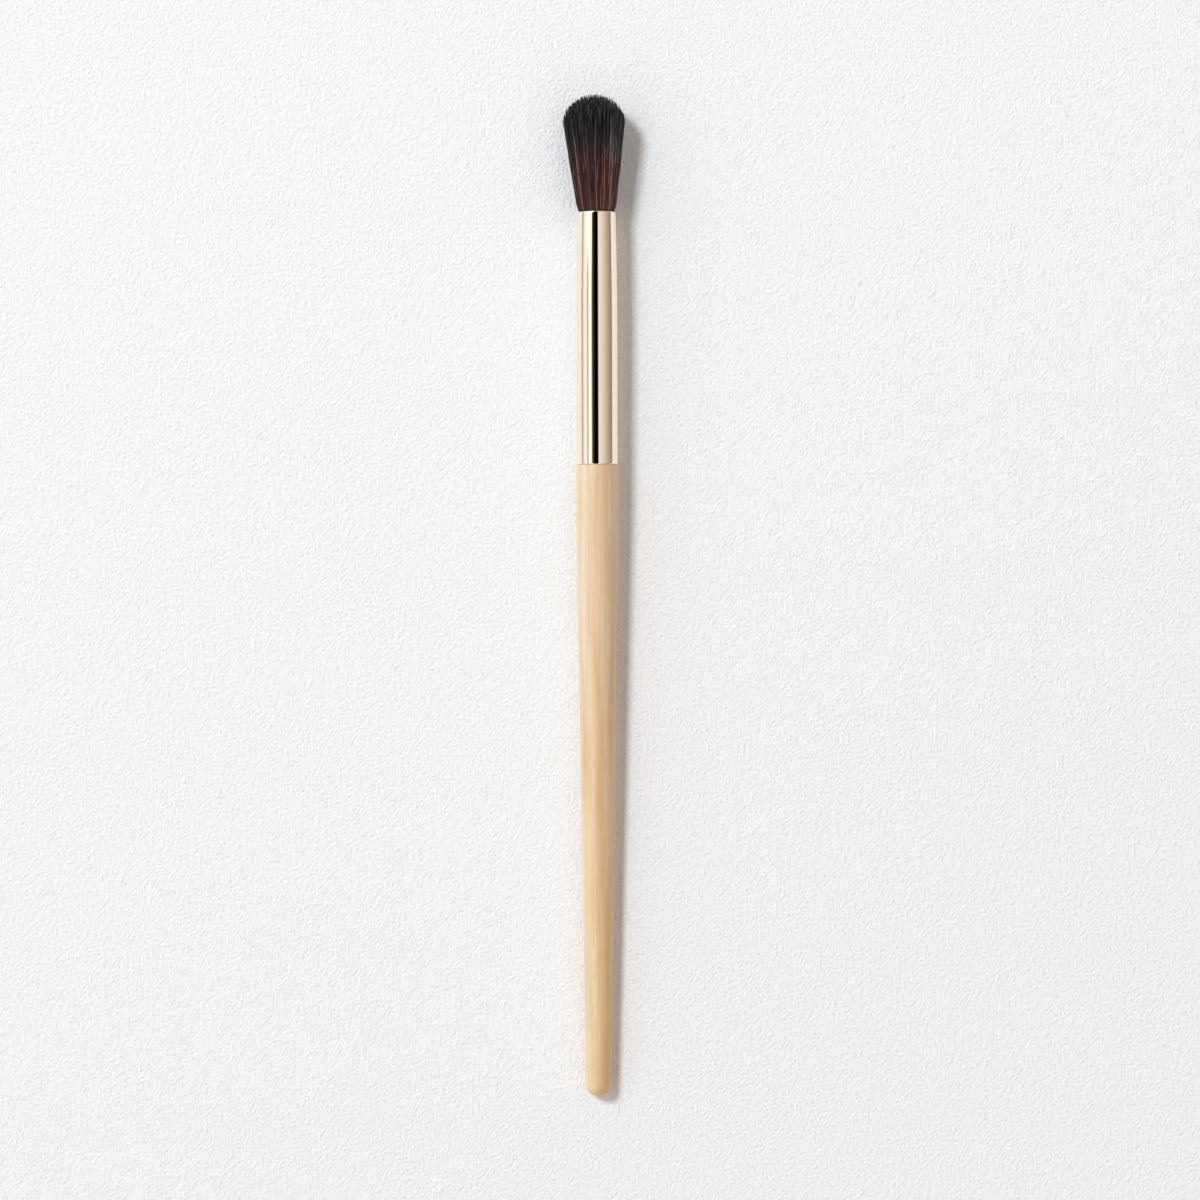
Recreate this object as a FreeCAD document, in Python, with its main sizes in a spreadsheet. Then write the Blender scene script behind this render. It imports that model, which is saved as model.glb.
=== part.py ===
import FreeCAD, Part
import math
import os
import Sketcher

# Eyeshadow brush with a flared, domed tuft, a drawn metal ferrule and a turned wooden handle.
# The brush lies along Y with its tip at +Y. Stations are measured along the axis from the joint
# where the ferrule's rear edge seats on the handle's shoulder. Sizes are in millimetres.

doc = FreeCAD.newDocument("eyeshadow_brush")

# Driving dimensions
sheet = doc.addObject("Spreadsheet::Sheet", "sizes")
driving = {
    "ferrule_length": 42.8,
    "ferrule_diameter": 7.3,
    "ferrule_wall": 0.35,
    "mouth_diameter": 6.8,
    "taper_length": 16.8,
    "lip_radius": 0.15,
    "edge_bevel": 0.1,
    "rounding_share_of_wall": 0.45,
    "handle_length": 107.4,
    "head_length": 4.0,
    "shoulder_proud": 0.03,
    "belly_radius": 200.0,
    "butt_diameter": 4.24,
    "tenon_chamfer": 0.8,
    "tenon_to_resin": 5.0,
    "glue_gap": 0.1,
    "glue_setback": 1.0,
    "resin_behind_taper": 5.0,
    "resin_ahead_of_taper": 3.0,
    "resin_wall": 0.4,
    "root_behind_taper": 3.0,
    "thread_diameter": 0.35,
    "thread_pitch": 0.8,
    "thread_turns": 4,
    "thread_sides": 6,
    "thread_clearance": 0.02,
    "binding_bite": 0.2,
    "binding_above_resin": 1.0,
    "bundle_clearance": 0.05,
    "tuft_length": 19.9,
    "tuft_diameter": 10.12,
    "dome_height": 4.5,
    "neck_height": 1.4,
    "neck_swell": 0.38,
    "lock_count": 48,
    "lock_depth": 0.16,
    "settle_depth": 0.3,
}
for row, (name, value) in enumerate(driving.items(), 1):
    sheet.set("A%d" % row, name)
    sheet.set("B%d" % row, str(value))
    sheet.setAlias("B%d" % row, name)
doc.recompute()

# Radii and stations worked out from the driving dimensions
layout = doc.addObject("App::VarSet", "layout")
worked_out = {
    "joint": "0",
    "mouth": "sizes.ferrule_length",
    "taper_start": "sizes.ferrule_length - sizes.taper_length",
    "ferrule_radius": "sizes.ferrule_diameter / 2",
    "mouth_radius": "sizes.mouth_diameter / 2",
    "bore_radius": "layout.ferrule_radius - sizes.ferrule_wall",
    "mouth_bore_radius": "layout.mouth_radius - sizes.ferrule_wall",
    "bore_draw": "(layout.bore_radius - layout.mouth_bore_radius) / sizes.taper_length",
    "rounding_limit": "sizes.ferrule_wall * sizes.rounding_share_of_wall",
    "lip_rounding": "min(sizes.lip_radius; layout.rounding_limit)",
    "edge_break": "min(sizes.edge_bevel; layout.rounding_limit)",
    "head_radius": "layout.ferrule_radius + sizes.shoulder_proud",
    "head_end": "-sizes.head_length",
    "butt_radius": "sizes.butt_diameter / 2",
    "butt_start": "-sizes.handle_length + layout.butt_radius",
    "butt_end": "-sizes.handle_length",
    "taper_fall": "layout.head_radius - layout.butt_radius",
    "taper_run": "layout.head_end - layout.butt_start",
    "taper_slant": "sqrt(layout.taper_fall ^ 2 + layout.taper_run ^ 2)",
    "belly_centre": "layout.head_radius - sizes.belly_radius",
    "belly_reach": "sizes.belly_radius * layout.taper_fall / (layout.taper_slant + layout.taper_run)",
    "belly_start": "layout.head_end + layout.belly_reach",
    "belly_end": "layout.head_end - layout.belly_reach * layout.taper_run / layout.taper_slant",
    "belly_end_radius": "layout.head_radius - layout.belly_reach * layout.taper_fall / layout.taper_slant",
    "resin_back": "layout.taper_start - sizes.resin_behind_taper",
    "resin_front": "layout.taper_start + sizes.resin_ahead_of_taper",
    "resin_front_radius": "layout.bore_radius - layout.bore_draw * sizes.resin_ahead_of_taper",
    "root_end": "layout.taper_start - sizes.root_behind_taper",
    "root_radius": "layout.resin_front_radius - sizes.resin_wall",
    "tenon_end": "layout.resin_back - sizes.tenon_to_resin",
    "tenon_radius": "layout.bore_radius - sizes.glue_gap",
    "tenon_nose": "layout.tenon_end - sizes.tenon_chamfer",
    "tenon_nose_radius": "layout.tenon_radius - sizes.tenon_chamfer",
    "glue_back": "sizes.glue_setback",
    "thread_radius": "sizes.thread_diameter / 2",
    "waist_start": "layout.resin_front + sizes.binding_above_resin",
    "waist_floor": "layout.waist_start + sizes.binding_bite",
    "thread_start": "layout.waist_floor + layout.thread_radius + sizes.thread_clearance",
    "thread_end": "layout.thread_start + sizes.thread_turns * sizes.thread_pitch",
    "waist_end": "layout.thread_end + layout.thread_radius + sizes.thread_clearance",
    "waist_radius": "layout.root_radius - sizes.binding_bite",
    "wind_radius": "layout.waist_radius + sizes.thread_clearance + layout.thread_radius",
    "bundle_mouth_radius": "layout.mouth_bore_radius - sizes.bundle_clearance",
    "neck": "layout.mouth + sizes.neck_height",
    "neck_radius": "layout.bundle_mouth_radius + sizes.neck_swell",
    "tuft_radius": "sizes.tuft_diameter / 2",
    "tip": "layout.mouth + sizes.tuft_length",
    "widest": "layout.tip - sizes.dome_height",
    "flare": "(layout.tuft_radius - layout.neck_radius) / (layout.widest - layout.neck)",
    "tip_flare_radius": "layout.tuft_radius + layout.flare * sizes.dome_height",
    "neck_notch_floor": "layout.neck_radius - sizes.lock_depth",
    "neck_notch_rim": "layout.neck_radius + sizes.lock_depth",
    "tip_notch_floor": "layout.tip_flare_radius - sizes.lock_depth",
    "tip_notch_rim": "layout.tip_flare_radius + sizes.lock_depth",
    "notch_left": "2 * sizes.lock_depth",
    "notch_right": "-layout.notch_left",
    "lying_length": "layout.widest - layout.butt_start",
    "lying_sine": "(layout.tuft_radius - sizes.settle_depth - layout.butt_radius) / layout.lying_length",
    "lying_cosine": "sqrt(1 - layout.lying_sine ^ 2)",
    "ground_fall": "layout.lying_sine / layout.lying_cosine",
    "ground_at_butt": "-layout.butt_radius / layout.lying_cosine",
    "ground_at_mouth": "layout.ground_at_butt - layout.ground_fall * (layout.mouth - layout.butt_start)",
    "ground_at_tip": "layout.ground_at_butt - layout.ground_fall * (layout.tip - layout.butt_start)",
    "below_ground": "-sizes.tuft_diameter",
}
for name, formula in worked_out.items():
    layout.addProperty("App::PropertyFloat", name)
    layout.setExpression(name, formula)
doc.recompute()


# How a sketch numbers its own axes and the points of a line, arc or circle
SKETCH_X_AXIS, SKETCH_Y_AXIS = range(-1, -3, -1)
START, END, CENTRE = range(1, 4)
SKETCH_ORIGIN = (SKETCH_X_AXIS, START)
FULL_TURN = math.degrees(math.tau)
SAME_EDGE = 1e-6


def placed(name):
    return getattr(layout, name) if name else 0


def origin_feature(body, role):
    return next(f for f in body.Origin.OriginFeatures if f.Role == role)


def new_sketch(body, label, role):
    sketch = body.newObject("Sketcher::SketchObject", label)
    sketch.AttachmentSupport = [(origin_feature(body, role), "")]
    sketch.MapMode = "FlatFace"
    return sketch


def bind(sketch, direction, geometry, position, name):
    """Fixes a point of the sketch at a worked-out distance from its origin, or on its upright axis."""
    if name is None:
        sketch.addConstraint(Sketcher.Constraint("PointOnObject", geometry, position, SKETCH_Y_AXIS))
        return
    distance = Sketcher.Constraint(direction, *SKETCH_ORIGIN, geometry, position, placed(name))
    sketch.setExpression("Constraints[%d]" % sketch.addConstraint(distance), "layout." + name)


def outline_arc(start, end, centre_x):
    """Arc between two points about a centre at centre_x, with the sketch positions of its ends."""
    widths = (end.x - centre_x) ** 2 - (start.x - centre_x) ** 2
    centre_y = (widths + end.y ** 2 - start.y ** 2) / (2 * (end.y - start.y))
    centre = FreeCAD.Vector(centre_x, centre_y, 0)
    angles = [math.atan2(point.y - centre_y, point.x - centre_x) for point in (start, end)]
    circle = Part.Circle(centre, FreeCAD.Vector(0, 0, 1), start.distanceToPoint(centre))
    arc = Part.ArcOfCircle(circle, min(angles), max(angles))
    return arc, (START, END) if angles[0] < angles[1] else (END, START)


def draw_outline(sketch, corners, arcs):
    """Closed outline through corners given as the names of their two distances from the origin.

    A first name of None puts the corner on the upright axis. The stretches that leave the corners
    numbered in arcs are arcs, each about a centre at the distance that is named there.
    """
    points = [FreeCAD.Vector(placed(across), placed(up), 0) for across, up in corners]
    ends = []
    for index, start in enumerate(points):
        end = points[(index + 1) % len(points)]
        stretch, positions = Part.LineSegment(start, end), (START, END)
        if index in arcs:
            stretch, positions = outline_arc(start, end, placed(arcs[index]))
        ends.append(positions)
        sketch.addGeometry(stretch, False)
    for index, (across, up) in enumerate(corners):
        following = (index + 1) % len(corners)
        joined = Sketcher.Constraint("Coincident", index, ends[index][1], following, ends[following][0])
        sketch.addConstraint(joined)
        bind(sketch, "DistanceX", index, ends[index][0], across)
        bind(sketch, "DistanceY", index, ends[index][0], up)
    for index, centre in arcs.items():
        bind(sketch, "DistanceX", index, CENTRE, centre)


def turned(label, corners, arcs=()):
    """Body turned about the axis from a closed half outline of (radius, station) names."""
    body = doc.addObject("PartDesign::Body", label)
    body.Label = label
    outline = new_sketch(body, label + "_outline", "XY_Plane")
    draw_outline(outline, corners, dict(arcs))
    turning = body.newObject("PartDesign::Revolution", label + "_turning")
    turning.Profile = outline
    turning.ReferenceAxis = (outline, ["V_Axis"])
    turning.Angle = FULL_TURN
    doc.recompute()
    return body


def dress_edge(body, label, kind, radius, station, size):
    """Fillet or chamfer on the circular edge of the given radius and station."""
    base = body.Tip
    names = []
    for number, edge in enumerate(base.Shape.Edges, 1):
        if edge.Degenerated or not isinstance(edge.Curve, Part.Circle):
            continue
        same_size = math.isclose(edge.Curve.Radius, getattr(layout, radius), abs_tol=SAME_EDGE)
        same_place = math.isclose(edge.Curve.Center.y, getattr(layout, station), abs_tol=SAME_EDGE)
        if same_size and same_place:
            names.append("Edge%d" % number)
    dressing = body.newObject("PartDesign::" + kind, label)
    dressing.Base = (base, names)
    dressing.setExpression("Radius" if kind == "Fillet" else "Size", "layout." + size)
    doc.recompute()


# Handle: turned birch with a tenon for the ferrule, a flush shoulder, a straight head that runs
# through a soft belly into a long taper, and a round butt
handle = turned("handle", [
    (None, "tenon_end"),
    ("tenon_nose_radius", "tenon_end"),
    ("tenon_radius", "tenon_nose"),
    ("tenon_radius", "joint"),
    ("head_radius", "joint"),
    ("head_radius", "belly_start"),
    ("belly_end_radius", "belly_end"),
    ("butt_radius", "butt_start"),
    (None, "butt_end"),
], arcs={5: "belly_centre", 7: None})

# Adhesive film that fills the gap between the tenon and the ferrule's bore
tenon_glue = turned("tenon_glue", [
    ("tenon_radius", "glue_back"),
    ("bore_radius", "glue_back"),
    ("bore_radius", "tenon_nose"),
    ("tenon_radius", "tenon_nose"),
])

# Ferrule: thin drawn tube, straight over the tenon and drawn in towards the mouth
ferrule = turned("ferrule", [
    ("bore_radius", "joint"),
    ("ferrule_radius", "joint"),
    ("ferrule_radius", "taper_start"),
    ("mouth_radius", "mouth"),
    ("mouth_bore_radius", "mouth"),
    ("bore_radius", "taper_start"),
])
dress_edge(ferrule, "mouth_lip", "Fillet", "mouth_radius", "mouth", "lip_rounding")
dress_edge(ferrule, "mouth_inside", "Chamfer", "mouth_bore_radius", "mouth", "edge_break")
dress_edge(ferrule, "rear_edge", "Chamfer", "ferrule_radius", "joint", "edge_break")

# Resin cup cast across the start of the taper, so that it is wedged in the tube round the roots
root_resin = turned("root_resin", [
    (None, "resin_back"),
    ("bore_radius", "resin_back"),
    ("bore_radius", "taper_start"),
    ("resin_front_radius", "resin_front"),
    ("root_radius", "resin_front"),
    ("root_radius", "root_end"),
    (None, "root_end"),
])

# Tuft: one bundle from the cast roots through the bound waist and the mouth to the flared head
bristle_tuft = turned("bristle_tuft", [
    (None, "root_end"),
    ("root_radius", "root_end"),
    ("root_radius", "waist_start"),
    ("waist_radius", "waist_floor"),
    ("waist_radius", "waist_end"),
    ("bundle_mouth_radius", "mouth"),
    ("neck_radius", "neck"),
    ("tuft_radius", "widest"),
    (None, "tip"),
], arcs={7: None})

# Partings between the locks of the tuft: notches that run up the flare and out through the dome
notches = []
for end_name in ("neck", "tip"):
    notch = new_sketch(bristle_tuft, "parting_at_" + end_name, "XZ_Plane")
    notch.setExpression("AttachmentOffset.Base.z", "-layout." + end_name)
    draw_outline(notch, [
        (end_name + "_notch_floor", "joint"),
        (end_name + "_notch_rim", "notch_left"),
        (end_name + "_notch_rim", "notch_right"),
    ], arcs={})
    notches.append(notch)
doc.recompute()
parting = bristle_tuft.newObject("PartDesign::SubtractiveLoft", "parting")
parting.Profile = notches[0]
parting.Sections = notches[1:]
parting.Ruled = True
doc.recompute()
partings = bristle_tuft.newObject("PartDesign::PolarPattern", "partings")
partings.Originals = [parting]
partings.Axis = (origin_feature(bristle_tuft, "Y_Axis"), [""])
partings.Angle = FULL_TURN
partings.setExpression("Occurrences", "sizes.lock_count")
bristle_tuft.Tip = partings
doc.recompute()

# Flat that the soft filaments take underneath, where the brush lies on its tuft and its butt
ground = new_sketch(bristle_tuft, "ground", "YZ_Plane")
draw_outline(ground, [
    ("mouth", "ground_at_mouth"),
    ("tip", "ground_at_tip"),
    ("tip", "below_ground"),
    ("mouth", "below_ground"),
], arcs={})
settled = bristle_tuft.newObject("PartDesign::Pocket", "settled")
settled.Profile = ground
settled.Type = "ThroughAll"
settled.SideType = "Symmetric"
doc.recompute()

# Binding: one thread wound round the waist of the bundle, drawn tight into it. Each quarter turn is
# two arcs that meet on its middle radius, and a straight end one thread long leaves each last turn.
QUARTER_COUNT = 4


def on_winding(quarters):
    """Point on the thread's centre line after so many quarter turns, its direction and its radius line."""
    angle = quarters * math.tau / QUARTER_COUNT
    outward = FreeCAD.Vector(math.cos(angle), 0, math.sin(angle))
    around = FreeCAD.Vector(-math.sin(angle), 0, math.cos(angle)) * layout.wind_radius * math.tau
    station = layout.thread_start + sheet.thread_pitch * quarters / QUARTER_COUNT
    point = outward * layout.wind_radius + FreeCAD.Vector(0, station, 0)
    return point, (around + FreeCAD.Vector(0, sheet.thread_pitch, 0)).normalize(), outward


def arc_leaving(start, direction, end):
    """Arc from start to end that leaves in the given direction, and its direction at the end."""
    chord = end - start
    lengthways = direction.dot(chord) / chord.dot(chord)
    sideways = (direction - chord * lengthways).normalize()
    bulge = sideways * (chord.Length / 2 * math.tan(direction.getAngle(chord) / 2))
    return Part.Arc(start, start + chord / 2 + bulge, end).toShape(), chord * (2 * lengthways) - direction


def quarter_turn(quarters):
    """Two arcs along a quarter turn, tangent to the winding at both ends and to each other."""
    start, direction, _ = on_winding(quarters)
    middle, _, outward = on_winding(quarters + 0.5)
    end, _, _ = on_winding(quarters + 1)
    inward = middle - outward * layout.wind_radius - start
    lead, climb = direction.dot(outward), direction.dot(inward)
    rest = 2 * climb * inward.dot(outward) - lead * inward.dot(inward)
    meeting = start + inward + outward * ((math.sqrt(climb ** 2 - lead * rest) - climb) / lead)
    first, turned_to = arc_leaving(start, direction, meeting)
    second, _ = arc_leaving(meeting, turned_to, end)
    return [first, second]


quarters_in_all = round(sheet.thread_turns * QUARTER_COUNT)
thread_path = []
for quarters in range(quarters_in_all):
    thread_path += quarter_turn(quarters)
first_point, first_direction, _ = on_winding(0)
last_point, last_direction, _ = on_winding(quarters_in_all)
loose_end = first_point - first_direction * sheet.thread_diameter
tail_end = last_point + last_direction * sheet.thread_diameter
thread_path.insert(0, Part.LineSegment(loose_end, first_point).toShape())
thread_path.append(Part.LineSegment(last_point, tail_end).toShape())
corner_out = on_winding(0)[2] * layout.thread_radius
corner_step = FreeCAD.Rotation(first_direction, FULL_TURN / sheet.thread_sides)
thread_corners = []
for _ in range(round(sheet.thread_sides)):
    thread_corners.append(loose_end + corner_out)
    corner_out = corner_step.multVec(corner_out)
thread_section = Part.makePolygon(thread_corners + thread_corners[:1])
binding_thread = doc.addObject("Part::Feature", "binding_thread")
binding_thread.Label = "binding_thread"
binding_thread.Shape = Part.Wire(thread_path).makePipeShell([thread_section], True, False)
binding_thread.Placement = FreeCAD.Placement()
doc.recompute()

thread_length = sum(stretch.Length for stretch in thread_path)
swept_volume = Part.Face(thread_section).Area * thread_length
print("thread volume against section times length", binding_thread.Shape.Volume / swept_volume)
samples = range(quarters_in_all * QUARTER_COUNT + 1)
centre_points = [on_winding(sample / QUARTER_COUNT)[0] for sample in samples]
half_turn = QUARTER_COUNT * QUARTER_COUNT // 2
spacing = min(
    point.distanceToPoint(other)
    for number, point in enumerate(centre_points)
    for other in centre_points[number + half_turn:]
)
print("least gap between the thread's turns", round(spacing - sheet.thread_diameter, 3))

# Every object has to be sound before its solid is written
for feature in doc.Objects:
    if "Invalid" in feature.State or "Error" in feature.State:
        raise RuntimeError("%s: %s" % (feature.Name, feature.getStatusString()))

os.makedirs("parts", exist_ok=True)
for piece in (handle, tenon_glue, ferrule, root_resin, binding_thread, bristle_tuft):
    if piece.Shape.isNull() or not piece.Shape.isValid():
        raise RuntimeError("%s has no sound solid" % piece.Label)
    print(piece.Label, len(piece.Shape.Solids), round(piece.Shape.Volume, 2), piece.Shape.BoundBox)
    piece.Shape.exportStep("parts/%s.step" % piece.Label)
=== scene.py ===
import bmesh
import bpy
import math
from mathutils import Color, Matrix, Vector


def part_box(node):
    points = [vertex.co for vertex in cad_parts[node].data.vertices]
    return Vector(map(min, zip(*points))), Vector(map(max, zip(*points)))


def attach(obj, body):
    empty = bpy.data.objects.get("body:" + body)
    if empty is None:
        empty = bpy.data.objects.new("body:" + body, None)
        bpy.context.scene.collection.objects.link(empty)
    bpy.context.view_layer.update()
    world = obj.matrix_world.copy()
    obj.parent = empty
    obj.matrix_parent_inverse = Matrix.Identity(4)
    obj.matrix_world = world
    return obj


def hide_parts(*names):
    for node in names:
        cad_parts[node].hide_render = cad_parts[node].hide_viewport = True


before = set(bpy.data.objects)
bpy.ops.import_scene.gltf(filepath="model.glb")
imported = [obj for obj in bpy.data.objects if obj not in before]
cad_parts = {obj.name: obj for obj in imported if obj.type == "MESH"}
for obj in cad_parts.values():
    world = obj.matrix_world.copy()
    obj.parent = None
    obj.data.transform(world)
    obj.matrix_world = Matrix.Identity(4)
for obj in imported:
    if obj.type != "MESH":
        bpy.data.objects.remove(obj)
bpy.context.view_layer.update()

# Handle: one length of pale birch, turned to a short straight head, a long taper and a round butt, then
# sanded and dipped in clear satin lacquer. The thinner tenon at its front end goes into the ferrule.
BUTT_RADIUS = 0.00212
BUTT_FULLNESS = 2.5
BUTT_STEPS = 24
HEAD_LENGTH = 0.004
BELLY_RADIUS = 0.2
SHOULDER_ROUND = 0.0001
TENON_CHAMFER = 0.0008
GLUE_FILM = 0.0001
LATHE_SIDES = 160
ARC_STEPS = 12
SHARP_EDGE = math.radians(30)
POLE = 1e-7
handle_low, handle_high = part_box("handle")
bore_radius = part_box("tenon_glue")[1].x
head_radius = handle_high.x
butt_end, tenon_end = handle_low.y, handle_high.y
butt_start = butt_end + BUTT_RADIUS
tenon_radius = bore_radius - GLUE_FILM
taper_angle = math.atan2(head_radius - BUTT_RADIUS, -HEAD_LENGTH - butt_start)
belly_start = BELLY_RADIUS * math.tan(taper_angle / 2) - HEAD_LENGTH


def arc(centre, radius, start, end):
    """Points of (radius, station) on an arc, with its angles turning from outwards to the front."""
    turns = [start + (end - start) * step / ARC_STEPS for step in range(ARC_STEPS + 1)]
    return [(centre[0] + radius * math.cos(turn), centre[1] + radius * math.sin(turn)) for turn in turns]


def butt_point(step):
    """Point of (radius, station) on the butt, which is a little fuller than a half sphere."""
    share = math.sin(math.pi / 2 * step / BUTT_STEPS)
    radius = BUTT_RADIUS * (1 - share ** BUTT_FULLNESS) ** (1 / BUTT_FULLNESS)
    return radius, butt_start - BUTT_RADIUS * share


def turned(name, outline, closed=False):
    """Piece turned about the brush's axis from an outline of (radius, station)."""
    shape = bmesh.new()
    rings = []
    for radius, station in outline:
        sides = LATHE_SIDES if radius > POLE else 1
        turns = [math.tau * side / sides for side in range(sides)]
        rim = [(radius * math.cos(turn), station, radius * math.sin(turn)) for turn in turns]
        rings.append([shape.verts.new(corner) for corner in rim])
    following = rings[1:] + (rings[:1] if closed else [])
    for near, far in zip(rings, following):
        for side in range(LATHE_SIDES):
            beside = (side + 1) % LATHE_SIDES
            corners = [near[side % len(near)], near[beside % len(near)]]
            corners += [far[beside % len(far)], far[side % len(far)]]
            shape.faces.new(dict.fromkeys(corners))
    bmesh.ops.recalc_face_normals(shape, faces=shape.faces)
    mesh = bpy.data.meshes.new(name)
    shape.to_mesh(mesh)
    shape.free()
    mesh.shade_smooth()
    mesh.set_sharp_from_angle(angle=SHARP_EDGE)
    piece = bpy.data.objects.new(name, mesh)
    bpy.context.scene.collection.objects.link(piece)
    return piece


def paint(red, green, blue):
    """Colour as it is seen, in steps of 255, as the linear values that a shader takes."""
    return (*Color((red / 255, green / 255, blue / 255)).from_srgb_to_scene_linear(), 1)


def new_finish(name, sockets):
    """Material with its plain sockets set, with the tree and the shader that its pattern is built on."""
    material = bpy.data.materials.new(name)
    material.use_nodes = True
    shader = material.node_tree.nodes["Principled BSDF"]
    for socket, value in sockets.items():
        shader.inputs[socket].default_value = value
    return material, material.node_tree, shader


def add_node(tree, kind, inputs=(), **settings):
    """Node of a kind with its settings, and with each input set to a value or linked to a socket."""
    made = tree.nodes.new(kind)
    for name, value in settings.items():
        setattr(made, name, value)
    for key, value in dict(inputs).items():
        if isinstance(value, bpy.types.NodeSocket):
            tree.links.new(value, made.inputs[key])
        else:
            made.inputs[key].default_value = value
    return made


def feed(node, results):
    """Links results to the inputs of a node by their names."""
    for name, result in results.items():
        node.id_data.links.new(result, node.inputs[name])


def reckon(tree, operation, *values):
    """Result of an operation on numbers or sockets."""
    return add_node(tree, "ShaderNodeMath", enumerate(values), operation=operation).outputs[0]


def ramp(tree, value, start, end, low=0, high=1):
    """Value that goes from low to high between start and end, and is level beyond them."""
    return add_node(tree, "ShaderNodeMapRange", enumerate((value, start, end, low, high))).outputs[0]


def mixed(tree, share, first, second):
    """Colour that goes from the first to the second with a share."""
    return add_node(tree, "ShaderNodeMix", {0: share, 6: first, 7: second}, data_type="RGBA").outputs[2]


def object_place(tree):
    """A point's place across, along and above the brush's axis."""
    spot = add_node(tree, "ShaderNodeTexCoord").outputs["Object"]
    return add_node(tree, "ShaderNodeSeparateXYZ", {0: spot}).outputs


# Noise drawn out along the brush, which the finishes take their grain, lines and tooth from
drawn_streaks = bpy.data.node_groups.new("drawn_streaks", "ShaderNodeTree")
for name in ("Stretch", "Streaks per Metre", "Detail"):
    drawn_streaks.interface.new_socket(name, in_out="INPUT", socket_type="NodeSocketFloat")
drawn_streaks.interface.new_socket("Streaks", in_out="OUTPUT", socket_type="NodeSocketFloat")
wanted = drawn_streaks.nodes.new("NodeGroupInput").outputs
spot = add_node(drawn_streaks, "ShaderNodeTexCoord").outputs["Object"]
lengthwise = reckon(drawn_streaks, "DIVIDE", 1, wanted["Stretch"])
drawing = add_node(drawn_streaks, "ShaderNodeCombineXYZ", {"X": 1, "Y": lengthwise, "Z": 1}).outputs[0]
drawn = add_node(drawn_streaks, "ShaderNodeVectorMath", {0: spot, 1: drawing}, operation="MULTIPLY")
noise = add_node(drawn_streaks, "ShaderNodeTexNoise", {
    "Vector": drawn.outputs[0],
    "Scale": wanted["Streaks per Metre"],
    "Detail": wanted["Detail"],
})
feed(drawn_streaks.nodes.new("NodeGroupOutput"), {"Streaks": noise.outputs[0]})


def streaks(tree, stretch, per_metre, detail=3):
    """Streaks across a finish, drawn out along the brush by a stretch."""
    wanted = {"Stretch": stretch, "Streaks per Metre": per_metre, "Detail": detail}
    return add_node(tree, "ShaderNodeGroup", wanted, node_tree=drawn_streaks).outputs[0]


handle = turned("handle_turned", [
    (0, tenon_end),
    (tenon_radius - TENON_CHAMFER, tenon_end),
    (tenon_radius, tenon_end - TENON_CHAMFER),
    (tenon_radius, 0),
    *arc((head_radius - SHOULDER_ROUND, -SHOULDER_ROUND), SHOULDER_ROUND, math.pi / 2, 0),
    *arc((head_radius - BELLY_RADIUS, belly_start), BELLY_RADIUS, 0, -taper_angle),
    *map(butt_point, range(BUTT_STEPS + 1)),
])
FRONT_SAPWOOD, BUTT_SAPWOOD = paint(233, 214, 186), paint(231, 205, 160)
FRONT_HEARTWOOD, BUTT_HEARTWOOD = paint(225, 188, 139), paint(223, 180, 123)
GRAIN_BROWN, GRAIN_SHARE = paint(202, 158, 108), 0.35
PORE_BROWN, PORE_SHARE = paint(176, 130, 84), 0.3
# Painted shade: how far the figure drifts to the darker, warmer heartwood on the right side, away from the
# softbox.
PAINTED_SHADE_TO_THE_RIGHT = 0.16
FIGURE_ENDS, GRAIN_ENDS, PORE_ENDS = (0.34, 0.66), (0.42, 0.72), (0.62, 0.74)
LACQUER_ROUGHNESS = (0.42, 0.54)
PORE_DEPTH = 0.00004
PORE_STRENGTH = 0.12
birch, tree, shader = new_finish("birch_in_satin_lacquer", {
    "Specular IOR Level": 0.5,
    "Coat Weight": 0.9,
    "Coat Roughness": 0.36,
})
across, station, _ = object_place(tree)
# Painted shade: the figure is pushed towards heartwood on the right side, away from the softbox, so that side
# is painted darker and warmer and the left side paler.
painted_side_shade = ramp(tree, across, -head_radius, head_radius, -PAINTED_SHADE_TO_THE_RIGHT, PAINTED_SHADE_TO_THE_RIGHT)
ring_bands_and_side_shade = reckon(tree, "ADD", streaks(tree, stretch=16, per_metre=560), painted_side_shade)
figure_and_side_shade = ramp(tree, ring_bands_and_side_shade, *FIGURE_ENDS)
grain = ramp(tree, streaks(tree, stretch=45, per_metre=2200), *GRAIN_ENDS)
pores = ramp(tree, streaks(tree, stretch=14, per_metre=7000, detail=1), *PORE_ENDS)
towards_butt = ramp(tree, station, 0, butt_end)
sapwood = mixed(tree, towards_butt, FRONT_SAPWOOD, BUTT_SAPWOOD)
heartwood = mixed(tree, towards_butt, FRONT_HEARTWOOD, BUTT_HEARTWOOD)
wood = mixed(tree, figure_and_side_shade, sapwood, heartwood)
wood = mixed(tree, reckon(tree, "MULTIPLY", grain, GRAIN_SHARE), wood, GRAIN_BROWN)
wood = mixed(tree, reckon(tree, "MULTIPLY", pores, PORE_SHARE), wood, PORE_BROWN)
dents = {"Strength": PORE_STRENGTH, "Distance": PORE_DEPTH, "Height": pores}
feed(shader, {
    "Base Color": wood,
    "Roughness": ramp(tree, grain, 0, 1, *LACQUER_ROUGHNESS),
    "Normal": add_node(tree, "ShaderNodeBump", dents, invert=True).outputs[0],
})
handle.data.materials.append(birch)
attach(handle, "root")
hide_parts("handle")

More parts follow.
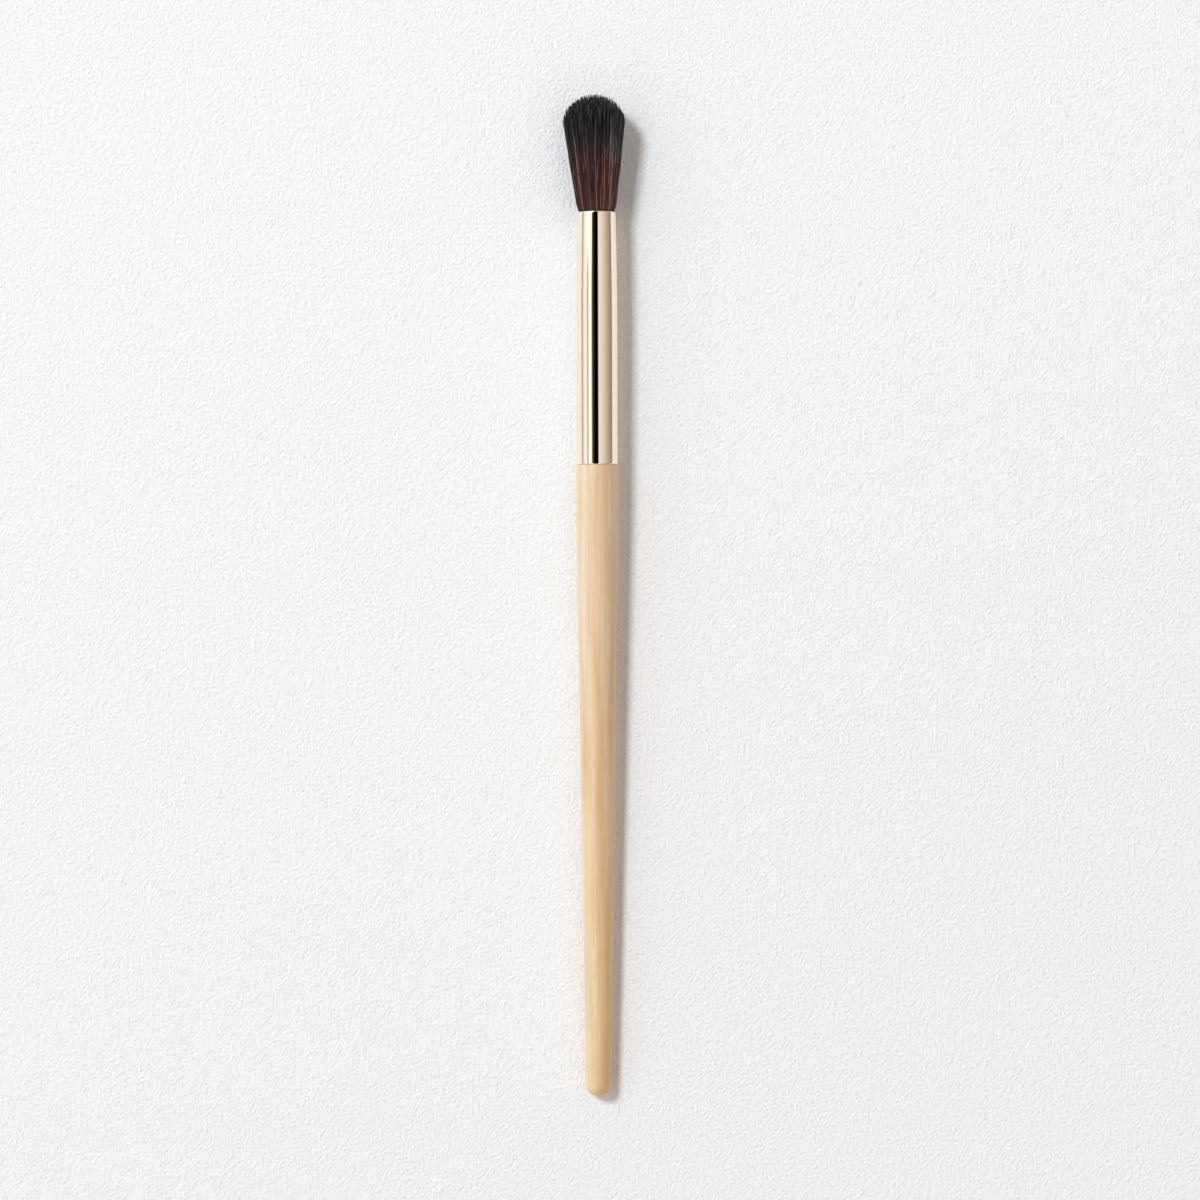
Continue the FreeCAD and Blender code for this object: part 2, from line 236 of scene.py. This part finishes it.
# Tenon glue: the thin film of cream wood glue that fills the gap between the tenon and the ferrule's bore.
# It is spread on the tenon before the ferrule is pushed on, and dries with fine drag lines in it.
GLUE_CREAM, GLUE_TAN = paint(226, 212, 176), paint(206, 188, 146)
GLUE_ROUGHNESS = (0.35, 0.55)
STREAK_ENDS = (0.3, 0.7)
wood_glue, tree, shader = new_finish("dried_wood_glue", {"Specular IOR Level": 0.4})
drag_lines = streaks(tree, stretch=12, per_metre=3000)
feed(shader, {
    "Base Color": mixed(tree, drag_lines, GLUE_CREAM, GLUE_TAN),
    "Roughness": ramp(tree, drag_lines, *STREAK_ENDS, *GLUE_ROUGHNESS),
})
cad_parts["tenon_glue"].material_slots[0].material = wood_glue

# Ferrule: a thin aluminium tube, straight over the tenon and drawn in towards the mouth, where its edge is
# rolled smooth. It is polished bright and anodised a pale champagne gold.
FERRULE_WALL = 0.00035
MOUTH_RADIUS = 0.0034
TAPER_LENGTH = 0.0168
LIP_ROUND = 0.00012
REAR_ROUND = 0.0003
TAPER_STEPS = 24
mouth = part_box("ferrule")[1].y
ferrule_radius = bore_radius + FERRULE_WALL
narrowing = ferrule_radius - MOUTH_RADIUS


def drawn_in(radius, step):
    """Point of (radius, station) on a wall of that radius, which curves in gently from the straight part."""
    share = step / TAPER_STEPS
    return radius - narrowing * (share ** 2 * (2 - share) + share) / 2, mouth - TAPER_LENGTH * (1 - share)


ferrule = turned("ferrule_drawn", [
    (bore_radius, 0),
    *arc((ferrule_radius - REAR_ROUND, REAR_ROUND), REAR_ROUND, -math.pi / 2, 0),
    *[drawn_in(ferrule_radius, step) for step in range(TAPER_STEPS)],
    *arc((MOUTH_RADIUS - LIP_ROUND, mouth - LIP_ROUND), LIP_ROUND, 0, math.pi),
    *[drawn_in(bore_radius, step) for step in reversed(range(TAPER_STEPS))],
], closed=True)
BRIGHT_CHAMPAGNE, HANDLED_CHAMPAGNE = paint(254, 245, 229), paint(251, 240, 221)
POLISHED_ROUGHNESS = (0.025, 0.04)
SMEAR_ROUGHNESS = 0.012
SMEAR_ENDS = (0.4, 0.7)
LIP_ROUGHNESS = 0.3
champagne_metal, tree, shader = new_finish("polished_champagne_metal", {"Metallic": 1})
polishing_lines = streaks(tree, stretch=60, per_metre=6000)
handling = streaks(tree, stretch=2, per_metre=160)
roughness = ramp(tree, polishing_lines, *STREAK_ENDS, *POLISHED_ROUGHNESS)
smear = ramp(tree, handling, *SMEAR_ENDS, 0, SMEAR_ROUGHNESS)
rolled_lip = ramp(tree, object_place(tree)["Y"], mouth - 2 * LIP_ROUND, mouth, 0, LIP_ROUGHNESS)
for added in (smear, rolled_lip):
    roughness = reckon(tree, "ADD", roughness, added)
feed(shader, {
    "Base Color": mixed(tree, handling, BRIGHT_CHAMPAGNE, HANDLED_CHAMPAGNE),
    "Roughness": roughness,
})
ferrule.data.materials.append(champagne_metal)
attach(ferrule, "root")
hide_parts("ferrule")

# Root resin: clear amber resin cast into the tube round the ends of the filaments. It wedges in the start
# of the taper, so that the tuft can't be pulled out.
RESIN_AMBER, RESIN_BROWN = paint(198, 148, 74), paint(150, 98, 40)
RESIN_ROUGHNESS = (0.12, 0.3)
amber_resin, tree, shader = new_finish("cast_amber_resin", {"Coat Weight": 0.5, "Coat Roughness": 0.1})
swirl = streaks(tree, stretch=1, per_metre=700)
feed(shader, {
    "Base Color": mixed(tree, swirl, RESIN_AMBER, RESIN_BROWN),
    "Roughness": ramp(tree, swirl, *STREAK_ENDS, *RESIN_ROUGHNESS),
})
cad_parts["root_resin"].material_slots[0].material = amber_resin

# Binding thread: undyed cotton, wound four times round the roots and drawn tight to hold the bundle together
# while it is dropped into the ferrule. Its plies show as slanting ridges.
PLIES_PER_METRE = 2600
PLY_SLANT = (0.6, 0.5, 0)
PLY_WANDER = 2
PLY_DEPTH = 0.00005
FUZZ_PER_METRE = 9000
COTTON_GREY_GROOVE_SHADE, COTTON_WHITE = paint(186, 174, 150), paint(236, 228, 210)
cotton, tree, shader = new_finish("twisted_cotton", {"Roughness": 0.85, "Sheen Weight": 0.3})
spot = add_node(tree, "ShaderNodeTexCoord").outputs["Object"]
slanted = add_node(tree, "ShaderNodeMapping", {"Vector": spot, "Rotation": PLY_SLANT}).outputs[0]
winding = {"Vector": slanted, "Scale": PLIES_PER_METRE, "Distortion": PLY_WANDER}
plies = add_node(tree, "ShaderNodeTexWave", winding).outputs["Fac"]
# Painted shade: the grooves between the plies are painted greyer than the ridges, varied at random by the
# fuzz.
ply_shade = reckon(tree, "MULTIPLY", plies, streaks(tree, stretch=1, per_metre=FUZZ_PER_METRE))
feed(shader, {
    "Base Color": mixed(tree, ply_shade, COTTON_GREY_GROOVE_SHADE, COTTON_WHITE),
    "Normal": add_node(tree, "ShaderNodeBump", {"Distance": PLY_DEPTH, "Height": plies}).outputs[0],
})
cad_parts["binding_thread"].material_slots[0].material = cotton

# Tuft: some six thousand tapered synthetic filaments, red-brown with blue-black dipped tips. They are shaken
# into a domed cup before they are bound, so they flare from the mouth and gather in small locks at the dome.
# A finer layer grows outside a coarser core.
DOME_HEIGHT = 0.0045
DOME_RISE = 0.0001
NECK_HEIGHT = 0.0014
NECK_RADIUS = 0.00338
SETTLE_DEPTH = 0.0003
BUNDLE_CLEARANCE = 0.0001
BOUND_SHARE = 0.88
FULLNESS = 1.04
CORE_SHARE = 0.85
RINGS_IN_TUBE, RINGS_AT_NECK, RINGS_IN_TUFT = 2, 1, 7
RING_STEPS = RINGS_IN_TUBE + RINGS_AT_NECK + RINGS_IN_TUFT
FILAMENT_SIDES = 3
tuft_low, tuft_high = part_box("bristle_tuft")
binding_low, binding_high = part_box("binding_thread")
tuft_radius = tuft_high.x
widest = tuft_high.y - DOME_HEIGHT
lying_angle = math.asin((tuft_radius - SETTLE_DEPTH - BUTT_RADIUS) / (widest - butt_start))
ground_fall = math.tan(lying_angle)
ground_at_butt = -BUTT_RADIUS / math.cos(lying_angle)
tuft_sizes = {
    "Filaments": 2900,
    "Locks": 480,
    "Root Station": tuft_low.y,
    "Binding Station": binding_high.y,
    "Mouth Station": mouth,
    "Neck Station": mouth + NECK_HEIGHT,
    "Widest Station": widest,
    "Bound Radius": -binding_low.x * BOUND_SHARE,
    "Mouth Radius": MOUTH_RADIUS - FERRULE_WALL - BUNDLE_CLEARANCE,
    "Neck Radius": NECK_RADIUS,
    "Tuft Radius": tuft_radius * FULLNESS,
    "Dome Height": DOME_HEIGHT + DOME_RISE,
    "Lock Pull": 0.8,
    "Lock Point": 0.0006,
    "Lock Rise": 0.0003,
    "Short Filaments": 0.0004,
    "Stray Lean": 0.2,
    "Sway": 0.1,
    "Lean": -0.00035,
    "Ground at Mouth": ground_at_butt - ground_fall * (mouth - butt_start),
    "Ground Fall": ground_fall,
}
layer_sizes = {
    "tuft_core": {"Inner Share": 0.0, "Outer Share": CORE_SHARE, "Filament Radius": 0.00007, "Seed": 1},
    "tuft_outside": {"Inner Share": CORE_SHARE, "Outer Share": 1.0, "Filament Radius": 0.000047, "Seed": 2},
}
tree = bpy.data.node_groups.new("flared_tuft", "GeometryNodeTree")
tree.interface.new_socket("Geometry", in_out="OUTPUT", socket_type="NodeSocketGeometry")
identifiers = {}
for name, value in {**tuft_sizes, **layer_sizes["tuft_core"]}.items():
    kind = "NodeSocketInt" if isinstance(value, int) else "NodeSocketFloat"
    identifiers[name] = tree.interface.new_socket(name, in_out="INPUT", socket_type=kind).identifier
size = tree.nodes.new("NodeGroupInput").outputs
index = add_node(tree, "GeometryNodeInputIndex").outputs[0]
position = add_node(tree, "GeometryNodeInputPosition").outputs[0]


def random_value(low, high, seed):
    """Random number for each point, or a random vector where low and high are vectors."""
    kind, first = ("FLOAT_VECTOR", 0) if isinstance(low, tuple) else ("FLOAT", 2)
    limits = {first: low, first + 1: high, "Seed": seed}
    draw = add_node(tree, "FunctionNodeRandomValue", limits, data_type=kind)
    return draw.outputs[0 if first == 0 else 1]


def own_seed(offset):
    """Seed that differs from layer to layer and from draw to draw."""
    return reckon(tree, "ADD", size["Seed"], offset)


def vector_reckon(operation, first, second, output="Vector"):
    """Result of an operation on two vectors, or on a vector and the number that scales it."""
    key = "Scale" if operation == "SCALE" else 1
    inputs = {0: first, key: second}
    return add_node(tree, "ShaderNodeVectorMath", inputs, operation=operation).outputs[output]


def spread_points(count, inner, outer, jitter, seed):
    """Points spread over a ring of the unit disc as a sunflower's seeds are, each a little off its place."""
    golden_angle = math.pi * (3 - math.sqrt(5))
    share = reckon(tree, "DIVIDE", reckon(tree, "ADD", index, 0.5), count)
    inner_area, outer_area = (reckon(tree, "POWER", reach, 2) for reach in (inner, outer))
    reach = reckon(tree, "SQRT", ramp(tree, share, 0, 1, inner_area, outer_area))
    turn = reckon(tree, "MULTIPLY", index, golden_angle)
    across, up = (reckon(tree, "MULTIPLY", reach, reckon(tree, side, turn)) for side in ("COSINE", "SINE"))
    seat = add_node(tree, "ShaderNodeCombineXYZ", {"X": across, "Z": up}).outputs[0]
    shaken = vector_reckon("ADD", seat, random_value((-jitter, 0, -jitter), (jitter, 0, jitter), seed))
    return add_node(tree, "GeometryNodePoints", {"Count": count, "Position": shaken}).outputs[0]


def keep(geometry, name, kind, value):
    """Geometry with a value kept on each of its points under a name, and that value to read later."""
    inputs = {"Geometry": geometry, "Name": name, "Value": value}
    kept = add_node(tree, "GeometryNodeStoreNamedAttribute", inputs, data_type=kind).outputs[0]
    return kept, add_node(tree, "GeometryNodeInputNamedAttribute", {"Name": name}, data_type=kind).outputs[0]


def bent_line(value, corners):
    """Height of a line through corners of (place, height), level beyond its ends."""
    height = corners[0][1]
    for (start, low), (end, high) in zip(corners, corners[1:]):
        rise = reckon(tree, "SUBTRACT", high, low)
        height = reckon(tree, "ADD", height, ramp(tree, value, start, end, 0, rise))
    return height


# Each filament's seat in the bundle, and the lock that it gathers in
LOCK_JITTER, SEAT_JITTER = 0.03, 0.006
LOCK_SEED, LOCK_RISE_SEED = 11, 12
CHANCE_SEED, STRAY_SEED, RARITY_SEED = 20, 30, 40
STRAY_RARITY = 4
locks = spread_points(size["Locks"], 0, 1, LOCK_JITTER, LOCK_SEED)
filaments = spread_points(
    size["Filaments"], size["Inner Share"], size["Outer Share"], SEAT_JITTER, size["Seed"])
filaments, seat = keep(filaments, "layout_seat", "FLOAT_VECTOR", position)
search = {"Geometry": locks, "Sample Position": seat}
nearest = add_node(tree, "GeometryNodeSampleNearest", search).outputs[0]
lock_reading = {"Geometry": locks, "Value": position, "Index": nearest}
lock_seat = add_node(tree, "GeometryNodeSampleIndex", lock_reading, data_type="FLOAT_VECTOR").outputs[0]
filaments, lock_seat = keep(filaments, "layout_lock", "FLOAT_VECTOR", lock_seat)
lock_draw = {"Geometry": locks, "Value": random_value(-1, 1, LOCK_RISE_SEED), "Index": nearest}
lock_chance = add_node(tree, "GeometryNodeSampleIndex", lock_draw, data_type="FLOAT").outputs[0]
filaments, lock_chance = keep(filaments, "lock_chance", "FLOAT", lock_chance)
filaments, chance = keep(filaments, "chance", "FLOAT", random_value(0, 1, own_seed(CHANCE_SEED)))
stray = random_value((-1, 0, -1), (1, 0, 1), own_seed(STRAY_SEED))
rare = reckon(tree, "POWER", random_value(0, 1, own_seed(RARITY_SEED)), STRAY_RARITY)
filaments, stray = keep(filaments, "layout_stray", "FLOAT_VECTOR", vector_reckon("SCALE", stray, rare))

# One straight filament on each seat
straight = add_node(tree, "GeometryNodeCurvePrimitiveLine", {"End": (0, 1, 0)}).outputs[0]
steps = {"Curve": straight, "Count": RING_STEPS + 1}
straight = add_node(tree, "GeometryNodeResampleCurve", steps).outputs[0]
planting = {"Points": filaments, "Instance": straight}
planted = add_node(tree, "GeometryNodeInstanceOnPoints", planting).outputs[0]
planted = add_node(tree, "GeometryNodeRealizeInstances", {0: planted}).outputs[0]
factor = add_node(tree, "GeometryNodeSplineParameter").outputs["Factor"]
planted, along = keep(planted, "layout_along", "FLOAT", factor)

# Stations along each filament, up to a tip on the dome that stands higher in the middle of a lock
SHORT_RARITY = 3
at_mouth = RINGS_IN_TUBE / RING_STEPS
at_neck = (RINGS_IN_TUBE + RINGS_AT_NECK) / RING_STEPS
reach = add_node(tree, "ShaderNodeVectorMath", {0: seat}, operation="LENGTH").outputs["Value"]
inside = reckon(tree, "MAXIMUM", reckon(tree, "SUBTRACT", 1, reckon(tree, "POWER", reach, 2)), 0)
dome = reckon(tree, "MULTIPLY", size["Dome Height"], reckon(tree, "SQRT", inside))
lock_rise = reckon(tree, "MULTIPLY", lock_chance, size["Lock Rise"])
lock_width = reckon(tree, "SQRT", reckon(tree, "DIVIDE", 1, size["Locks"]))
from_lock = reckon(tree, "DIVIDE", vector_reckon("DISTANCE", seat, lock_seat, "Value"), lock_width)
lock_fall = reckon(tree, "MULTIPLY", reckon(tree, "POWER", from_lock, 2), size["Lock Point"])
shortness = reckon(tree, "MULTIPLY", reckon(tree, "POWER", chance, SHORT_RARITY), size["Short Filaments"])
tip = reckon(tree, "ADD", size["Widest Station"], dome)
tip = reckon(tree, "ADD", tip, lock_rise)
tip = reckon(tree, "SUBTRACT", tip, lock_fall)
tip = reckon(tree, "SUBTRACT", tip, shortness)
station = bent_line(along, [
    (0, size["Root Station"]),
    (at_mouth, size["Mouth Station"]),
    (at_neck, size["Neck Station"]),
    (1, tip),
])

# Spread of the bundle at each station, and how a filament gathers in its lock, strays and sways there
GATHER_POWER = 4
STRAY_ALONG = [(0, 0), (0.5, 1), (1, 0.6)]
SWAY_ALONG = [(0, 0), (0.5, 1), (1, 0.3)]
SWAYS_ACROSS, SWAYS_PER_METRE = 40, 260
spread = bent_line(station, [
    (size["Binding Station"], size["Bound Radius"]),
    (size["Mouth Station"], size["Mouth Radius"]),
    (size["Neck Station"], size["Neck Radius"]),
    (size["Widest Station"], size["Tuft Radius"]),
])
free = ramp(tree, along, at_neck, 1)
gather_share = reckon(tree, "MULTIPLY", reckon(tree, "POWER", free, GATHER_POWER), size["Lock Pull"])
gathered = vector_reckon("SCALE", vector_reckon("SUBTRACT", lock_seat, seat), gather_share)
outwards = reckon(tree, "MAXIMUM", vector_reckon("DOT_PRODUCT", stray, seat, "Value"), 0)
stray = vector_reckon("SUBTRACT", stray, vector_reckon("SCALE", seat, outwards))
stray_share = reckon(tree, "MULTIPLY", bent_line(free, STRAY_ALONG), size["Stray Lean"])
strayed = vector_reckon("SCALE", stray, stray_share)
height = add_node(tree, "ShaderNodeCombineXYZ", {"Y": station}).outputs[0]
sway_spot = vector_reckon(
    "ADD", vector_reckon("SCALE", seat, SWAYS_ACROSS), vector_reckon("SCALE", height, SWAYS_PER_METRE))
sway = add_node(tree, "ShaderNodeTexNoise", {"Vector": sway_spot, "Scale": 1, "Detail": 1}).outputs["Color"]
sway = vector_reckon("MULTIPLY", vector_reckon("SUBTRACT", sway, (0.5, 0.5, 0.5)), (1, 0, 1))
sway_share = reckon(tree, "MULTIPLY", bent_line(free, SWAY_ALONG), size["Sway"])
swayed = vector_reckon("SCALE", sway, sway_share)
across = seat
for shift in (gathered, strayed, swayed):
    across = vector_reckon("ADD", across, shift)
bent = add_node(tree, "ShaderNodeSeparateXYZ", {0: vector_reckon("SCALE", across, spread)}).outputs

# Underneath, the lower half is squeezed up to the flat that the filaments take on the surface they lie on
LEAST_SQUARE = 1e-9
above_mouth = reckon(tree, "SUBTRACT", station, size["Mouth Station"])
fall = reckon(tree, "MULTIPLY", above_mouth, size["Ground Fall"])
ground = reckon(tree, "SUBTRACT", size["Ground at Mouth"], fall)
below = reckon(tree, "SUBTRACT", reckon(tree, "POWER", spread, 2), reckon(tree, "POWER", bent["X"], 2))
below = reckon(tree, "SQRT", reckon(tree, "MAXIMUM", below, LEAST_SQUARE))
squeeze = reckon(tree, "MINIMUM", reckon(tree, "DIVIDE", reckon(tree, "MULTIPLY", ground, -1), below), 1)
lower = reckon(tree, "LESS_THAN", bent["Z"], 0)
squeezed = reckon(tree, "ADD", 1, reckon(tree, "MULTIPLY", lower, reckon(tree, "SUBTRACT", squeeze, 1)))
settled = reckon(tree, "MAXIMUM", reckon(tree, "MULTIPLY", bent["Z"], squeezed), ground)
leaned = reckon(tree, "MULTIPLY_ADD", size["Lean"], free, bent["X"])
bent_to = add_node(tree, "ShaderNodeCombineXYZ", {"X": leaned, "Y": station, "Z": settled}).outputs[0]
filaments = add_node(tree, "GeometryNodeSetPosition", {"Geometry": planted, "Position": bent_to}).outputs[0]

# Section of the filaments, which thin to a fine tip
THIN_TO_THICK = (0.8, 1.2)
TIP_TAPER = [(0.75, 1), (1, 0.4)]
thickness = reckon(tree, "MULTIPLY", size["Filament Radius"], ramp(tree, chance, 0, 1, *THIN_TO_THICK))
thickness = reckon(tree, "MULTIPLY", thickness, bent_line(along, TIP_TAPER))
section = {"Resolution": FILAMENT_SIDES, "Radius": 1}
section = add_node(tree, "GeometryNodeCurvePrimitiveCircle", section).outputs[0]
sweep = {"Curve": filaments, "Profile Curve": section, "Scale": thickness, "Fill Caps": True}
filaments = add_node(tree, "GeometryNodeCurveToMesh", sweep).outputs[0]
layout = {"Geometry": filaments, "Name": "layout_*"}
filaments = add_node(tree, "GeometryNodeRemoveAttribute", layout, pattern_mode="WILDCARD").outputs[0]
filaments = add_node(tree, "GeometryNodeSetShadeSmooth", {"Geometry": filaments}).outputs[0]
filaments = add_node(tree, "GeometryNodeRealizeInstances", {0: filaments}).outputs[0]

# Dye of the filaments, with a pale one here and there, which is also a painted glint standing in for
# filaments that catch the light, and painted shade where they leave the mouth
DARK_BROWN, LIGHT_BROWN, PALE_GLINT_BROWN = paint(36, 14, 13), paint(96, 52, 46), paint(200, 146, 118)
DARK_BLACK, LIGHT_BLACK, PALE_GLINT_BLACK = paint(18, 17, 21), paint(42, 41, 48), paint(146, 144, 148)
LOCK_SHADE, LOCK_SHADE_SHARE = paint(18, 11, 11), 0.14
ROOT_SHADE = paint(24, 12, 11)
ROOT_SHADE_START, ROOT_SHADE_END = mouth - 0.0002, mouth + 0.0005
DIP_START, DIP_END = mouth + 0.0084, mouth + 0.013
DIP_SPREAD = 0.0016
PALE_GLINT_CHANCE = (0.89, 0.97)
FILAMENT_ROUGHNESS = (0.25, 0.4)
dyed, dye, shader = new_finish("dip_dyed_filament", {"Specular IOR Level": 0.5})
up = object_place(dye)["Y"]
chance_read, lock_read = (
    add_node(dye, "ShaderNodeAttribute", attribute_name=name).outputs["Fac"]
    for name in ("chance", "lock_chance"))
dip_line = ramp(dye, chance_read, 0, 1, -DIP_SPREAD, DIP_SPREAD)
dipped = ramp(dye, reckon(dye, "ADD", up, dip_line), DIP_START, DIP_END)
# A few filaments at random are pale: painted glints, standing in for filaments that catch the light.
pale_glint = ramp(dye, chance_read, *PALE_GLINT_CHANCE)
brown = mixed(dye, pale_glint, mixed(dye, chance_read, DARK_BROWN, LIGHT_BROWN), PALE_GLINT_BROWN)
black = mixed(dye, pale_glint, mixed(dye, chance_read, DARK_BLACK, LIGHT_BLACK), PALE_GLINT_BLACK)
lock_share = ramp(dye, lock_read, -1, 1, 0, LOCK_SHADE_SHARE)
tone = mixed(dye, lock_share, mixed(dye, dipped, brown, black), LOCK_SHADE)
# Painted shade: the filaments are darkened where they go into the mouth.
tone = mixed(dye, ramp(dye, up, ROOT_SHADE_START, ROOT_SHADE_END), ROOT_SHADE, tone)
feed(shader, {
    "Base Color": tone,
    "Roughness": ramp(dye, chance_read, 0, 1, *FILAMENT_ROUGHNESS),
})
filaments = add_node(tree, "GeometryNodeSetMaterial", {"Geometry": filaments, "Material": dyed}).outputs[0]
feed(tree.nodes.new("NodeGroupOutput"), {"Geometry": filaments})

for layer, own_sizes in layer_sizes.items():
    bundle = bpy.data.objects.new(layer, bpy.data.meshes.new(layer))
    bpy.context.scene.collection.objects.link(bundle)
    growing = bundle.modifiers.new("filaments", "NODES")
    growing.node_group = tree
    for name, value in {**tuft_sizes, **own_sizes}.items():
        growing[identifiers[name]] = value
    graph = bpy.context.evaluated_depsgraph_get()
    grown = bundle.evaluated_get(graph)
    bundle.data = bpy.data.meshes.new_from_object(grown, preserve_all_data_layers=True, depsgraph=graph)
    bundle.modifiers.clear()
    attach(bundle, "root")
    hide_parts("bristle_tuft")

# Surface: a plain sheet of white paper with a fine tooth, which the brush lies on with its butt and its tuft.
# It slopes from the one to the other, because the brush's axis is the level line here.
SHEET_REACH = 1.5
SHEET_CORNERS = [(-1, -1), (1, -1), (1, 1), (-1, 1)]
TOOTH_PER_METRE = 2000
TOOTH_DEPTH = 0.0003
# Painted shade in the tooth's hollows and painted light on its raised spots.
PAPER_GREY_HOLLOW_SHADE, PAPER_WHITE_RAISED_LIGHT = paint(243, 243, 243), paint(251, 251, 251)


def sheet_corner(side, end):
    """Place of one corner of the sheet, from its sides of -1 and 1."""
    along = end * SHEET_REACH
    return side * SHEET_REACH, along, ground_at_butt - ground_fall * (along - butt_start)


paper_mesh = bpy.data.meshes.new("paper")
paper_mesh.from_pydata([sheet_corner(*corner) for corner in SHEET_CORNERS], [], [range(len(SHEET_CORNERS))])
paper = bpy.data.objects.new("paper", paper_mesh)
bpy.context.scene.collection.objects.link(paper)
white_paper, tree, shader = new_finish("white_paper", {"Roughness": 0.9, "Specular IOR Level": 0.1})
tooth = streaks(tree, stretch=1, per_metre=TOOTH_PER_METRE)
dents = {"Strength": 1, "Distance": TOOTH_DEPTH, "Height": tooth}
# Painted shade and light on the tooth: its hollows are painted greyer and its raised spots whiter, beside the
# bump.
feed(shader, {
    "Base Color": mixed(tree, ramp(tree, tooth, *STREAK_ENDS), PAPER_GREY_HOLLOW_SHADE, PAPER_WHITE_RAISED_LIGHT),
    "Normal": add_node(tree, "ShaderNodeBump", dents).outputs[0],
})
paper.data.materials.append(white_paper)

# Light: one softbox hangs high on the left, ahead of the tuft. The studio around gives a soft fill, from the
# left over the top to the right: white, a dark gap straight above, a softer white and then dim.
# One more white card stands ahead on the left, and shows in the metal near the mouth.
SOFTBOX_PLACE = Vector((-1.1, 1.0, 1.95))
SOFTBOX_WIDTH, SOFTBOX_LENGTH = 0.5, 0.6
SOFTBOX_POWER = 40
SOFTBOX_COLOUR = (0.89, 0.935, 1)
STUDIO = [
    (-90, (0.60, 0.58, 0.55)),
    (-84, (0.36, 0.34, 0.31)),
    (-75, (0.86, 0.85, 0.82)),
    (-60, (1.05, 1.04, 1.00)),
    (-54, (0.75, 0.74, 0.72)),
    (-49, (0.40, 0.40, 0.39)),
    (-45, (0.75, 0.75, 0.75)),
    (-42, (1.12, 1.12, 1.12)),
    (-30, (1.12, 1.12, 1.12)),
    (-27, (0.50, 0.50, 0.48)),
    (-24, (0.10, 0.09, 0.08)),
    (-16, (0.02, 0.02, 0.01)),
    (-8, (0.0, 0.0, 0.0)),
    (6, (0.0, 0.0, 0.0)),
    (12, (0.90, 0.86, 0.86)),
    (38, (0.70, 0.66, 0.58)),
    (62, (0.50, 0.40, 0.32)),
    (90, (0.26, 0.21, 0.16)),
]
CARD_START, CARD_FULL = 0.104, 0.119
CARD_SIDES = [(-62, -57), (-25, -28)]
CARD_SHADE = (1.15, 1.14, 1.1, 1)
BACKDROP_WHITE = (1, 1, 1, 1)
softbox = bpy.data.lights.new("softbox", "AREA")
softbox.shape = "RECTANGLE"
softbox.size, softbox.size_y = SOFTBOX_WIDTH, SOFTBOX_LENGTH
softbox.energy = SOFTBOX_POWER
softbox.color = SOFTBOX_COLOUR
lamp = bpy.data.objects.new("softbox", softbox)
lamp.location = SOFTBOX_PLACE
lamp.rotation_euler.y = math.atan2(SOFTBOX_PLACE.x, SOFTBOX_PLACE.z)
bpy.context.scene.collection.objects.link(lamp)
studio = bpy.data.worlds.new("studio")
bpy.context.scene.world = studio
studio.use_nodes = True
sky = studio.node_tree
heading = add_node(sky, "ShaderNodeTexCoord").outputs["Generated"]
heading = add_node(sky, "ShaderNodeSeparateXYZ", {0: heading}).outputs
to_the_right = reckon(sky, "ARCTAN2", heading["X"], heading["Z"])
walls = add_node(sky, "ShaderNodeValToRGB", {"Fac": ramp(sky, to_the_right, -math.pi / 2, math.pi / 2)})
stops = walls.color_ramp.elements
while len(stops) < len(STUDIO):
    stops.new(1)
for stop, (angle, shade) in zip(stops, STUDIO):
    stop.position = (angle + 90) / 180
    stop.color = (*shade, 1)
card = ramp(sky, heading["Y"], CARD_START, CARD_FULL)
for edge in CARD_SIDES:
    card = reckon(sky, "MULTIPLY", card, ramp(sky, to_the_right, *map(math.radians, edge)))
around = mixed(sky, card, walls.outputs[0], CARD_SHADE)
seen = add_node(sky, "ShaderNodeLightPath").outputs["Is Camera Ray"]
feed(sky.nodes["Background"], {"Color": mixed(sky, seen, around, BACKDROP_WHITE)})

# Camera: straight above the sheet and square to it, on a long lens. It is turned a very little, as the brush
# lies not quite upright in the picture.
PHOTO_WIDTH = 0.204
CAMERA_HEIGHT = 0.595
CAMERA_ROLL = math.radians(0.16)
AIM = Vector((0.00044, -0.02295, 0))
SENSOR_WIDTH = 36
lens = bpy.data.cameras.new("camera")
lens.sensor_width = SENSOR_WIDTH
lens.lens = SENSOR_WIDTH * CAMERA_HEIGHT / PHOTO_WIDTH
camera = bpy.data.objects.new("camera", lens)
facing = Vector((0, math.sin(lying_angle), math.cos(lying_angle)))
right = Matrix.Rotation(-CAMERA_ROLL, 3, facing) @ Vector((1, 0, 0))
camera.matrix_world = Matrix((right, facing.cross(right), facing)).transposed().to_4x4()
camera.location = AIM + facing * CAMERA_HEIGHT
bpy.context.scene.collection.objects.link(camera)
bpy.context.scene.camera = camera
bpy.context.scene.view_settings.view_transform = "Standard"
